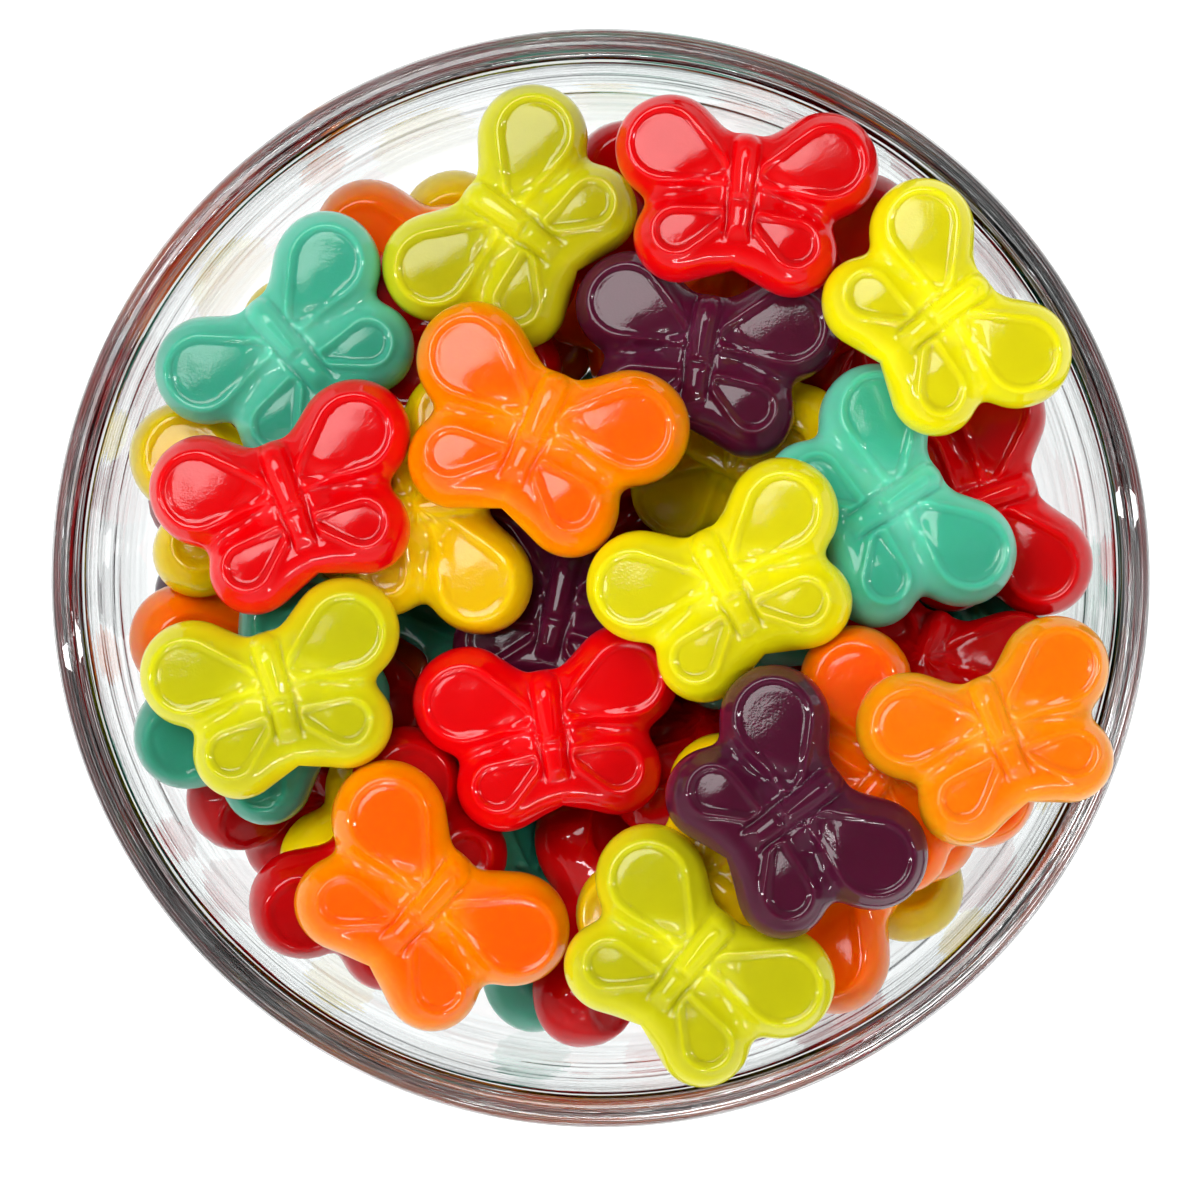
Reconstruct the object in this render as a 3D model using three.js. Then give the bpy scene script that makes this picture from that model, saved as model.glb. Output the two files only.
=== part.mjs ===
// A clear glass bowl heaped with moulded gummy butterflies.
// Millimetres, +Z up. The origin is the middle of the bowl's foot, on the surface it stands on.

import * as THREE from 'three';

// ---- Driving dimensions -------------------------------------------------------------------

const GAP = 0.3; // clearance between neighbouring solids

// The bowl: one thickness at the rim, a little more at the foot, on a low foot ring.
const RIM_RADIUS = 75;
const BOWL_HEIGHT = 66;
const RIM_THICKNESS = 4.8;
const FOOT_RADIUS = 36;
const FOOT_RING_WIDTH = 6;
const FOOT_RECESS = 1.4;
const FOOT_ROUNDING = 1.6;
const FLOOR_THICKNESS = 7;
const FLOOR_RADIUS = 22;
const BOWL_SIDES = 40;
const CURVE_STEPS = 5;

// The butterfly, lying on its flat back: x runs across the wings, +y to the head, z up.
const EDGE_HEIGHT = 3.4; // height at which the outline is widest
const PLATEAU = 8.9; // height of the wings' upper face
const SHOULDER = 3.6; // width of the rounding from the outline to the upper face
const BACK_ROUNDING = 1.7;
const PANEL_DEPTH = 0.45; // the wings' sunk panels
const BODY_RISE = 0.9; // the rounded body above the wings

// Tapers, as two circles joined by their tangents, for the right-hand side.
const UPPER_WING = { x0: 6.5, y0: 4.5, r0: 5.1, x1: 10.9, y1: 5.0, r1: 7.5 };
const LOWER_WING = { x0: 2.3, y0: -5.9, r0: 5.5, x1: 7.9, y1: -7.3, r1: 6.3 };
const BODY = { x0: 0, y0: -7.0, r0: 1.5, x1: 0, y1: 6.1, r1: 1.8 };
const UPPER_PANEL = { x0: 3.3, y0: 2.1, r0: 0.8, x1: 10.8, y1: 4.9, r1: 4.4 };
const LOWER_PANEL = { x0: 3.1, y0: -4.5, r0: 0.5, x1: 8.2, y1: -6.6, r1: 2.5 };
const BLEND = 2.8; // rounding where wings and body join
const POLE_Y = -1; // the outline is star-shaped about this point of the body

// Spoke angles of the right-hand side in degrees, from the head round to the tail.
const FINE_SPOKES = [90, 78, 66, 54, 43, 32, 21, 10, 0, -9.5, -22, -36, -50, -64, -77, -90];
const PLAIN_SPOKES = [90, 71, 53, 37, 21, 5, -9.5, -27, -48, -70, -90];
const FINE_RINGS = [0.6, 0.86, 1]; // upper rings, as shares of the outline's radius
const PLAIN_RINGS = [0.84, 1];

// The heap of gummies that lie hidden under the others.
const HEAP_TOP = 14.3;
const HEAP_MOUND = 15.2; // how much higher it lies in the middle
const MOUND_RADIUS = 15;
const HEAP_DISH = 5.9; // how much higher it lies at the wall
const HEAP_RADIUS = 51;
const HEAP_LUMP = 1.6;
const HEAP_RINGS = 5;
const HEAP_SIDES = 26;

// Settling: butterflies sink in small steps, push each other clear and are held near their places.
const CONTACT_GAP = 0.4; // clearance at which the settling stops pushing
const EDGE_ROUNDING = 2;
const PROBE = 0.01;
const HEIGHT_STEP = 0.5;
const HEAP_GAP = 1.1;
const CAUGHT = 2.7; // depth at which two are caught in each other
const SLAB_INERTIA = 75; // squared radius of gyration of a butterfly, in mm2
const REACH = 39;
const FALL_STEP = 0.3;
const FALL_ROUNDS = 1100;
const CLEAR_ROUNDS = 250;
const LAYING_STEP = 0.5;
const COVERED_HOLD = 0.031;
const UPPER_HOLD = 0.108;
const TURNING = 3.4; // how much more firmly a head is held to its direction than a place
const RIGHTING = 2.7; // how much more firmly a face is held upright than a place

// ---- Colours ------------------------------------------------------------------------------

const GUMMY_COLOURS = {
  red: 0xe3000f,
  orange: 0xff7300,
  amber: 0xff9a12,
  yellow: 0xf0dc0a,
  lime: 0xcfd41c,
  teal: 0x4fbf9f,
  purple: 0x4f1238,
};
const GLASS_COLOUR = 0xf2f7f6;

// ---- The butterflies, in the order in which they were laid down ---------------------------
// Colour, where the body's middle lies (x, y), the turn of the head from +Y, counter-clockwise
// in degrees, a size factor, and 'back' for one that lies with its flat back up.

const COVERED = [
  ['purple', 40.5, 28.5, 18, 0.98],
  ['yellow', -36.5, 31, -16, 1.0],
  ['yellow', -12, 48.5, -4, 0.99],
  ['orange', -17, 45, 5, 1.01],
  ['red', 11, 52.5, 2, 1.0, 'back'],
  ['orange', 16.5, 46.5, 88, 0.98],
  ['purple', -48.5, 0.5, 5, 0.98],
  ['orange', -48, -6.5, 20, 1.03],
  ['yellow', -49.5, 8.5, 6, 1.04],
  ['teal', -46, -17, 47, 1.0],
  ['red', -39.5, -29.5, 48, 1.02],
  ['yellow', -30.5, -43, -43, 0.99],
  ['red', -31, -41.5, 50, 1.02],
  ['teal', -14, -48, -103, 1.03],
  ['red', 2.5, -49, 90, 1.02],
  ['red', 47, -35, -57, 1.0],
  ['red', 26, -48, -70, 1.0],
  ['yellow', 42, -39.5, -106, 1.03],
  ['orange', 34, -40, -114, 1.0],
  ['red', 48.5, -14, -10, 1.01, 'back'],
  ['teal', 52, 6, -49, 0.98],
  ['red', 42, -5, -30, 1.0],
  ['red', 32, 29, -60, 1.02],
  ['yellow', 24, 16.5, 60, 1.0],
  ['teal', 24.5, 4.5, 0, 1.02],
  ['yellow', 21, -38, 51, 1.0],
  ['orange', 37, -22, -40, 1.03],
  ['red', 8, -27, 20, 1.0],
  ['red', -20, 35.5, 10, 0.99],
  ['yellow', -31, 12.5, -76, 1.01],
  ['teal', -20, -19, 90, 1.0],
];

const UPPERMOST = [
  ['purple', -3.5, -5, -17, 1.0],
  ['red', 59.2, 7.6, -60, 0.98],
  ['teal', 38.4, 8, -58, 1.0],
  ['lime', 12.3, -51.7, -38, 1.02],
  ['amber', 53.2, -20.5, 22, 0.97],
  ['lime', -13, 49.4, 53, 1.01],
  ['red', 20.5, 53.4, -4.5, 0.98],
  ['yellow', 45.8, 36.3, -54, 0.97],
  ['teal', -40.1, 31.8, 43, 1.0],
  ['lime', -43, -15.2, 14.5, 0.99],
  ['purple', 13.3, 32.1, -10, 0.99],
  ['purple', 25.2, -30.5, -51.5, 1.02],
  ['red', -41.8, 9.1, 13, 1.01],
  ['orange', -24.4, -42.3, -44, 1.05],
  ['orange', -8.9, 19.4, -24, 1.07],
  ['yellow', 17.5, -0.4, 27, 1.0],
  ['red', -7.4, -20.8, 10.5, 1.0],
];

// ---- Plane geometry -----------------------------------------------------------------------

const radians = THREE.MathUtils.degToRad;

// Signed distance to a taper: two circles joined by their outer tangents.
function taperDistance(x, y, taper) {
  const dx = taper.x1 - taper.x0;
  const dy = taper.y1 - taper.y0;
  const length = Math.hypot(dx, dy);
  const along = ((x - taper.x0) * dx + (y - taper.y0) * dy) / length;
  const aside = Math.abs((x - taper.x0) * dy - (y - taper.y0) * dx) / length;
  const sine = (taper.r0 - taper.r1) / length;
  const cosine = Math.sqrt(1 - sine * sine);
  const reach = cosine * along - sine * aside;
  if (reach < 0) return Math.hypot(along, aside) - taper.r0;
  if (reach > cosine * length) return Math.hypot(along - length, aside) - taper.r1;
  return cosine * aside + sine * along - taper.r0;
}

// Smaller of two distances, with the corner between them rounded over a blend width.
function blended(a, b) {
  const overlap = Math.max(BLEND - Math.abs(a - b), 0) / BLEND;
  return Math.min(a, b) - (overlap * overlap * BLEND) / 4;
}

// Signed distance to the butterfly's outline, negative inside.
function outlineDistance(x, y) {
  const side = Math.abs(x);
  const wings = blended(taperDistance(side, y, UPPER_WING), taperDistance(side, y, LOWER_WING));
  return blended(wings, taperDistance(side, y, BODY));
}

// Distance from the pole to the outline in a direction, by halving.
function outlineRadius(angle) {
  let inside = 0;
  let outside = 30;
  for (let step = 0; step < 30; step += 1) {
    const middle = (inside + outside) / 2;
    const beyond = outlineDistance(middle * Math.cos(angle), POLE_Y + middle * Math.sin(angle)) > 0;
    if (beyond) outside = middle;
    else inside = middle;
  }
  return inside;
}

// Height of the upper face: a rounded shoulder, sunk panels and the raised body.
function upperHeight(x, y) {
  const side = Math.abs(x);
  const inward = THREE.MathUtils.clamp(-outlineDistance(x, y) / SHOULDER, 0, 1);
  const shoulder = Math.sqrt(1 - (1 - inward) ** 2);
  const panel = Math.min(taperDistance(side, y, UPPER_PANEL), taperDistance(side, y, LOWER_PANEL));
  const sunk = PANEL_DEPTH * THREE.MathUtils.smoothstep(-panel, 0, 0.8);
  const body = BODY_RISE * THREE.MathUtils.smoothstep(-taperDistance(side, y, BODY), 0, 1.4);
  return EDGE_HEIGHT + (PLATEAU - EDGE_HEIGHT) * shoulder - sunk + body;
}

// ---- One butterfly solid ------------------------------------------------------------------

// A closed mesh of rings about the pole: upper rings, the outline, the back's edge and the back.
function butterflyGeometry(halfSpokes, upperRings) {
  const leftSpokes = halfSpokes.slice(1, -1).map((angle) => 180 - angle);
  const spokes = [...halfSpokes.toReversed(), ...leftSpokes].map(radians);
  const points = [[0, POLE_Y, upperHeight(0, POLE_Y)]];
  for (const ring of upperRings) {
    for (const angle of spokes) {
      const radius = ring * outlineRadius(angle);
      const x = radius * Math.cos(angle);
      const y = POLE_Y + radius * Math.sin(angle);
      points.push([x, y, ring < 1 ? upperHeight(x, y) : EDGE_HEIGHT]);
    }
  }
  for (const angle of spokes) {
    const radius = outlineRadius(angle) - BACK_ROUNDING;
    points.push([radius * Math.cos(angle), POLE_Y + radius * Math.sin(angle), 0]);
  }
  points.push([0, POLE_Y, 0]);

  const count = spokes.length;
  const rings = upperRings.length + 1;
  const triangles = [];
  for (let spoke = 0; spoke < count; spoke += 1) {
    const next = (spoke + 1) % count;
    triangles.push(0, 1 + spoke, 1 + next);
    for (let ring = 0; ring < rings - 1; ring += 1) {
      const inner = 1 + ring * count;
      const outer = inner + count;
      triangles.push(inner + spoke, outer + spoke, outer + next);
      triangles.push(inner + spoke, outer + next, inner + next);
    }
    const back = 1 + (rings - 1) * count;
    triangles.push(back + spoke, points.length - 1, back + next);
  }
  return indexedGeometry(points, triangles).translate(0, 0, -PLATEAU / 2);
}

function indexedGeometry(points, triangles) {
  const geometry = new THREE.BufferGeometry();
  geometry.setAttribute('position', new THREE.Float32BufferAttribute(points.flat(), 3));
  geometry.setIndex(triangles);
  geometry.computeVertexNormals();
  return geometry;
}

// ---- The bowl -----------------------------------------------------------------------------

const RIM_HALF = RIM_THICKNESS / 2;
const RIM_MIDDLE = RIM_RADIUS - RIM_HALF;

// The wall's two faces: from foot or floor up to the rim, a steep curve that leans out.
const OUTER_FACE = new THREE.CubicBezierCurve(
  new THREE.Vector2(FOOT_RADIUS, FOOT_ROUNDING),
  new THREE.Vector2(FOOT_RADIUS + 32, FOOT_ROUNDING + 1),
  new THREE.Vector2(RIM_RADIUS - 1, BOWL_HEIGHT - 36),
  new THREE.Vector2(RIM_RADIUS, BOWL_HEIGHT - RIM_HALF),
);
const INNER_FACE = new THREE.CubicBezierCurve(
  new THREE.Vector2(RIM_RADIUS - RIM_THICKNESS, BOWL_HEIGHT - RIM_HALF),
  new THREE.Vector2(RIM_RADIUS - RIM_THICKNESS - 0.8, BOWL_HEIGHT - 36),
  new THREE.Vector2(FLOOR_RADIUS + 38, FLOOR_THICKNESS + 1),
  new THREE.Vector2(FLOOR_RADIUS, FLOOR_THICKNESS),
);

// The rounded rim, from just past the outer face to just before the inner one.
function rimArc(steps) {
  return Array.from({ length: steps - 1 }, (_, step) => {
    const turn = (Math.PI * (step + 1)) / steps;
    const height = BOWL_HEIGHT - RIM_HALF + RIM_HALF * Math.sin(turn);
    return new THREE.Vector2(RIM_MIDDLE + RIM_HALF * Math.cos(turn), height);
  });
}

function bowlGeometry() {
  const ringInside = FOOT_RADIUS - FOOT_ROUNDING - FOOT_RING_WIDTH;
  const profile = [
    new THREE.Vector2(0, FOOT_RECESS),
    new THREE.Vector2(ringInside - FOOT_RECESS, FOOT_RECESS),
    new THREE.Vector2(ringInside, 0),
    new THREE.Vector2(FOOT_RADIUS - FOOT_ROUNDING, 0),
    ...OUTER_FACE.getPoints(CURVE_STEPS),
  ];
  profile.push(...rimArc(CURVE_STEPS));
  profile.push(...INNER_FACE.getPoints(CURVE_STEPS), new THREE.Vector2(0, FLOOR_THICKNESS));
  return new THREE.LatheGeometry(profile, BOWL_SIDES).rotateX(Math.PI / 2);
}

// Height of the faceted inside at a radius: floor, wall or rim, and nothing beyond the rim.
const INNER_POINTS = INNER_FACE.getPoints(CURVE_STEPS).reverse();

function bowlInside(middleRadius) {
  const radius = middleRadius / Math.cos(Math.PI / BOWL_SIDES);
  if (radius <= FLOOR_RADIUS) return FLOOR_THICKNESS;
  if (radius > RIM_RADIUS) return -Infinity;
  const above = INNER_POINTS.findIndex((point) => point.x > radius);
  if (above < 1) return BOWL_HEIGHT;
  const low = INNER_POINTS[above - 1];
  const high = INNER_POINTS[above];
  return THREE.MathUtils.mapLinear(radius, low.x, high.x, low.y, high.y);
}

// ---- The hidden heap ----------------------------------------------------------------------

// Rounded lumps about as wide as a gummy, from three crossing waves.
function heapTop(x, y) {
  const waves =
    Math.sin(0.21 * x + 0.6) * Math.cos(0.19 * y - 0.4) +
    0.6 * Math.sin(0.17 * (x + y) + 1.1) +
    0.5 * Math.cos(0.23 * (x - y) + 0.3);
  const radius = Math.hypot(x, y);
  const dish = HEAP_DISH * (radius / HEAP_RADIUS) ** 3;
  const mound = HEAP_MOUND * Math.exp(-((radius / MOUND_RADIUS) ** 2));
  return HEAP_TOP + dish + mound + HEAP_LUMP * waves;
}

// Rings of the lumpy top out to the wall, then rings down along the wall to the floor.
function heapGeometry() {
  const points = [[0, 0, heapTop(0, 0)]];
  const wallRings = [0.97, 0.86, 0.7, 0.5];
  const topRings = Array.from({ length: HEAP_RINGS }, (_, ring) => (ring + 1) / HEAP_RINGS);
  for (const share of topRings) {
    for (let side = 0; side < HEAP_SIDES; side += 1) {
      const angle = (2 * Math.PI * side) / HEAP_SIDES;
      const x = share * HEAP_RADIUS * Math.cos(angle);
      const y = share * HEAP_RADIUS * Math.sin(angle);
      const wall = bowlInside(share * HEAP_RADIUS + 4 * GAP);
      points.push([x, y, Math.max(heapTop(x, y), wall)]);
    }
  }
  for (const share of wallRings) {
    const radius = share * HEAP_RADIUS;
    const height = Math.max(bowlInside(radius + 3 * GAP), bowlInside(radius) + 1.5 * GAP);
    for (let side = 0; side < HEAP_SIDES; side += 1) {
      const angle = (2 * Math.PI * side) / HEAP_SIDES;
      points.push([radius * Math.cos(angle), radius * Math.sin(angle), height]);
    }
  }
  points.push([0, 0, FLOOR_THICKNESS + 2 * GAP]);

  const rings = topRings.length + wallRings.length;
  const triangles = [];
  for (let side = 0; side < HEAP_SIDES; side += 1) {
    const next = (side + 1) % HEAP_SIDES;
    triangles.push(0, 1 + side, 1 + next);
    for (let ring = 0; ring < rings - 1; ring += 1) {
      const inner = 1 + ring * HEAP_SIDES;
      const outer = inner + HEAP_SIDES;
      triangles.push(inner + side, outer + side, outer + next);
      triangles.push(inner + side, outer + next, inner + next);
    }
    const last = 1 + (rings - 1) * HEAP_SIDES;
    triangles.push(last + side, points.length - 1, last + next);
  }
  return indexedGeometry(points, triangles);
}

// ---- Settling into the bowl ----------------------------------------------------------------

const UP = new THREE.Vector3(0, 0, 1);
const HALF = PLATEAU / 2;
const FINE_GUMMY = butterflyGeometry(FINE_SPOKES, FINE_RINGS);
const CORNERS = cornersOf(FINE_GUMMY);

function cornersOf(geometry) {
  const position = geometry.getAttribute('position');
  const corner = (_, number) => new THREE.Vector3().fromBufferAttribute(position, number);
  return Array.from({ length: position.count }, corner);
}

// Signed distance to a whole butterfly: a slab with rounded edges and the round body along it.
function gummyDistance({ x, y, z }) {
  const across = outlineDistance(x, y) + EDGE_ROUNDING;
  const above = Math.abs(z) - HALF + EDGE_ROUNDING;
  const outside = Math.hypot(Math.max(across, 0), Math.max(above, 0));
  const slab = Math.min(Math.max(across, above), 0) + outside - EDGE_ROUNDING;
  const aside = taperDistance(x, y, BODY) + BODY.r1;
  const body = Math.hypot(Math.max(aside, 0), z - HALF - BODY_RISE + BODY.r1) - BODY.r1;
  return Math.min(slab, body);
}

// Direction in which the distance to a butterfly grows fastest.
function gummyNormal(point) {
  const slope = (axis) => {
    const ahead = point.clone();
    const behind = point.clone();
    ahead[axis] += PROBE;
    behind[axis] -= PROBE;
    return gummyDistance(ahead) - gummyDistance(behind);
  };
  return new THREE.Vector3(slope('x'), slope('y'), slope('z')).normalize();
}

// Inner radius of the bowl at each step of height from the stand up to the top of the rim.
const INSIDE = Array.from({ length: Math.floor(BOWL_HEIGHT / HEIGHT_STEP) + 1 }, (_, step) => {
  const height = step * HEIGHT_STEP;
  const onRim = height - BOWL_HEIGHT + RIM_HALF;
  if (onRim > 0) return RIM_MIDDLE - Math.sqrt(RIM_HALF ** 2 - onRim ** 2);
  let within = 0;
  let beyond = RIM_MIDDLE;
  while (beyond - within > PROBE) {
    const middle = (within + beyond) / 2;
    if (bowlInside(middle) > height) beyond = middle;
    else within = middle;
  }
  return within;
});

// How deep a point is in the wall, or closer to it than the gap, and the way back inside.
function wallContact(point) {
  const step = Math.floor(point.z / HEIGHT_STEP);
  if (step < 1 || step + 1 >= INSIDE.length) return { depth: 0 };
  const slope = (INSIDE[step + 1] - INSIDE[step]) / HEIGHT_STEP;
  const radius = Math.hypot(point.x, point.y);
  const beyond = radius - INSIDE[step] - slope * (point.z - step * HEIGHT_STEP);
  const steepness = Math.hypot(1, slope);
  const depth = CONTACT_GAP + beyond / steepness;
  if (depth <= 0) return { depth };
  const inward = -1 / (steepness * radius);
  const normal = new THREE.Vector3(point.x * inward, point.y * inward, slope / steepness);
  return { depth, normal };
}

function makeBody([, x, y, yaw, size, side], height, hold) {
  const back = side === 'back';
  const turn = new THREE.Quaternion().setFromAxisAngle(UP, radians(yaw));
  if (back) turn.multiply(new THREE.Quaternion(0, 1, 0, 0));
  const body = {
    target: { x, y, yaw: radians(yaw) },
    hold,
    back,
    place: new THREE.Vector3(x, y, height),
    turn,
    scale: new THREE.Vector3(size, size, size),
    toWorld: new THREE.Matrix4(),
    toLocal: new THREE.Matrix4(),
    corners: CORNERS.map(() => new THREE.Vector3()),
  };
  refresh(body);
  return body;
}

function refresh(body) {
  body.toWorld.compose(body.place, body.turn, body.scale);
  body.toLocal.copy(body.toWorld).invert();
  CORNERS.forEach((corner, number) => body.corners[number].copy(corner).applyMatrix4(body.toWorld));
}

// Turns a body by a small rotation vector.
function rotate(body, spin) {
  const turned = new THREE.Quaternion(spin.x / 2, spin.y / 2, spin.z / 2, 0).multiply(body.turn);
  const { x, y, z, w } = body.turn;
  body.turn.set(x + turned.x, y + turned.y, z + turned.z, w + turned.w).normalize();
}

// How readily a push at a point along a normal moves the body, as a free slab would.
function ease(body, point, normal) {
  return 1 + point.clone().sub(body.place).cross(normal).lengthSq() / SLAB_INERTIA;
}

function push(body, point, normal, amount) {
  const spin = point.clone().sub(body.place).cross(normal).multiplyScalar(amount / SLAB_INERTIA);
  body.place.addScaledVector(normal, amount);
  rotate(body, spin);
  refresh(body);
}

// Pushes a body's deepest corner out of the bowl or the hidden heap.
function clearOfBowl(body) {
  let deepest = { depth: 0 };
  for (const point of body.corners) {
    const { depth, normal } = wallContact(point);
    if (depth > deepest.depth) deepest = { depth, point, normal };
    if (point.z > HEAP_TOP + HEAP_DISH + HEAP_MOUND + 2 * HEAP_LUMP) continue;
    const sunk = heapTop(point.x, point.y) + HEAP_GAP - point.z;
    if (sunk > deepest.depth) deepest = { depth: sunk, point, normal: UP };
  }
  if (!deepest.point) return;
  const point = deepest.point.clone();
  push(body, point, deepest.normal, deepest.depth / ease(body, point, deepest.normal));
}

// True if a plane over or under the other body keeps the two apart.
function farAbove(one, other) {
  const across = other.toLocal.elements;
  const along = one.toWorld.elements;
  const reach = [20, 15, HALF + BODY_RISE].reduce((sum, half, axis) => {
    const [x, y, z] = along.slice(4 * axis, 4 * axis + 3);
    return sum + half * Math.abs(across[2] * x + across[6] * y + across[10] * z);
  }, 0);
  const middle = one.place.clone().applyMatrix4(other.toLocal).z;
  return Math.abs(middle) > reach + HALF + BODY_RISE + CONTACT_GAP;
}

// The corner of one body that is deepest in another, or closest to it within the gap.
function deepestCorner(one, other) {
  const local = new THREE.Vector3();
  let found = { depth: 0 };
  for (const corner of one.corners) {
    local.copy(corner).applyMatrix4(other.toLocal);
    if (Math.abs(local.z) > HALF + 2 || Math.abs(local.y) > 15 || Math.abs(local.x) > 20) continue;
    const depth = CONTACT_GAP - gummyDistance(local);
    if (depth > found.depth) found = { depth, point: corner.clone(), local: local.clone() };
  }
  return found;
}

// Pushes apart one body's deepest corner in another and that other. Two that are caught in
// each other part up and down, the one laid later upwards.
function clearOfEachOther(one, other, laidLater) {
  const { depth, point, local } = deepestCorner(one, other);
  if (!point) return;
  const caught = new THREE.Vector3(0, 0, laidLater ? 1 : -1);
  const normal = depth > CAUGHT ? caught : gummyNormal(local).applyQuaternion(other.turn);
  const amount = depth / (ease(one, point, normal) + ease(other, point, normal));
  push(one, point, normal, amount);
  push(other, point, normal, -amount);
}

// Raises a body, laid flat over its own place, until it is clear of the bowl and of those below.
function layOn(body, below) {
  const near = below.filter((other) => body.place.distanceTo(other.place) < REACH + body.place.z);
  const touches = (other) => deepestCorner(body, other).point || deepestCorner(other, body).point;
  while (body.corners.some((point) => wallContact(point).depth > 0) || near.some(touches)) {
    body.place.z += LAYING_STEP;
    refresh(body);
  }
}

// Sinks a body a little and draws it towards its own place, its yaw and an upright face.
function drift(body, fall) {
  const { target, hold } = body;
  body.place.z -= fall;
  body.place.x += hold * (target.x - body.place.x);
  body.place.y += hold * (target.y - body.place.y);
  const head = new THREE.Vector3(0, 1, 0).applyQuaternion(body.turn);
  const yawError = target.yaw - Math.atan2(-head.x, head.y);
  const wrapped = Math.atan2(Math.sin(yawError), Math.cos(yawError));
  const up = new THREE.Vector3(0, 0, body.back ? -1 : 1).applyQuaternion(body.turn);
  rotate(body, new THREE.Vector3(RIGHTING * up.y, -RIGHTING * up.x, TURNING * wrapped).multiplyScalar(hold));
  refresh(body);
}

function settle(bodies) {
  bodies.forEach((body, number) => layOn(body, bodies.slice(0, number)));
  for (let round = 0; round < FALL_ROUNDS + CLEAR_ROUNDS; round += 1) {
    const fall = FALL_STEP * Math.max(1 - round / FALL_ROUNDS, 0.1);
    if (round < FALL_ROUNDS) bodies.forEach((body) => drift(body, fall));
    bodies.forEach((one, number) => {
      for (const other of bodies.slice(0, number)) {
        if (one.place.distanceToSquared(other.place) > REACH * REACH) continue;
        if (farAbove(one, other) || farAbove(other, one)) continue;
        clearOfEachOther(one, other, true);
        clearOfEachOther(other, one, false);
      }
    });
    bodies.forEach(clearOfBowl);
    bodies.forEach(clearOfBowl);
  }
}

// ---- The whole ----------------------------------------------------------------------------

function gummyMaterial(colour) {
  return new THREE.MeshStandardMaterial({ color: GUMMY_COLOURS[colour], roughness: 0.22, metalness: 0 });
}

function addButterflies(whole, rows, bodies, prefix, geometry) {
  rows.forEach((row, number) => {
    const mesh = new THREE.Mesh(geometry, gummyMaterial(row[0]));
    mesh.name = `${prefix}_${String(number + 1).padStart(2, '0')}_${row[0]}`;
    mesh.position.copy(bodies[number].place);
    mesh.quaternion.copy(bodies[number].turn);
    mesh.scale.setScalar(row[4]);
    whole.add(mesh);
  });
}

const whole = new THREE.Group();

const bowl = new THREE.Mesh(
  bowlGeometry(),
  new THREE.MeshStandardMaterial({ color: GLASS_COLOUR, roughness: 0.02, metalness: 0 }),
);
bowl.name = 'bowl';
whole.add(bowl);

const heap = new THREE.Mesh(heapGeometry(), gummyMaterial('red'));
heap.name = 'heap';
whole.add(heap);

const rows = [...COVERED, ...UPPERMOST];
const bodies = rows.map((row, number) => {
  const uppermost = number >= COVERED.length;
  return makeBody(row, HEAP_TOP + HEAP_MOUND, uppermost ? UPPER_HOLD : COVERED_HOLD);
});
settle(bodies);
const plainGummy = butterflyGeometry(PLAIN_SPOKES, PLAIN_RINGS);
addButterflies(whole, COVERED, bodies.slice(0, COVERED.length), 'under', plainGummy);
addButterflies(whole, UPPERMOST, bodies.slice(COVERED.length), 'top', FINE_GUMMY);

export default whole;
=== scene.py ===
# %% [markdown]
# # Moulded gummy butterflies in a clear glass bowl
#
# Fruit jelly is poured into butterfly-shaped hollows pressed in trays of starch, sets, and is
# tumbled in a little oil. The sweets are heaped in a small pressed-glass bowl. The fixed model
# already says where every butterfly that shows from above lies. This lesson gives each one its
# moulded relief and its glowing colour, fills the spaces under them with more of the same, and
# turns the bowl into clear glass.

# %% The fixed model
import math
from collections import namedtuple

import bpy
import numpy as np
from mathutils import Matrix, Vector
from mathutils.bvhtree import BVHTree


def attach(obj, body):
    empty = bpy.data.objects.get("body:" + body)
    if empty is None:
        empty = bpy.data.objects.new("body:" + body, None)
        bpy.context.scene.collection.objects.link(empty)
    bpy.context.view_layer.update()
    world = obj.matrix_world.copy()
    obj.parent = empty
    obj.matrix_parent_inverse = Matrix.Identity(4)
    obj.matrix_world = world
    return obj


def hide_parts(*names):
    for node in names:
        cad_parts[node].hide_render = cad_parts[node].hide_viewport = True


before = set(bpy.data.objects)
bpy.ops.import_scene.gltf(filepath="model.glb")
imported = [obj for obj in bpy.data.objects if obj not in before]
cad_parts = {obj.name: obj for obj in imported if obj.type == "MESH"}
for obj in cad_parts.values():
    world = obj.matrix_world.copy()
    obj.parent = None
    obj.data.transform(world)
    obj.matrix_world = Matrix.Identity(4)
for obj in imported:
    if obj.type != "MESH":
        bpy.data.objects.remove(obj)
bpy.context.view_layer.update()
MM = 0.001
rng = np.random.default_rng(11)

# %% [markdown]
# ## The outline of one butterfly
#
# Seen from above, a butterfly is two pairs of wings and a body. Each is a taper: two circles
# joined by their tangents. The signed distance to a taper says how far outside it a point lies,
# negative inside. Taking the smaller of several distances, with the corner between them rounded,
# melts the wings into one outline, as the mould does. Lengths here are in millimetres, and the
# head points towards +y.

# %% Tapers and the outline
Taper = namedtuple("Taper", "x0 y0 r0 x1 y1 r1")
UPPER_WING = Taper(6.5, 4.5, 5.1, 10.9, 5.0, 7.5)
LOWER_WING = Taper(2.3, -5.9, 5.5, 7.9, -7.3, 6.3)
BODY = Taper(0, -7.0, 1.5, 0, 6.1, 1.8)
WING_BLEND = 2.8
POLE_Y = -1.0  # every point of the outline can be seen from (0, POLE_Y)


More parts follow.
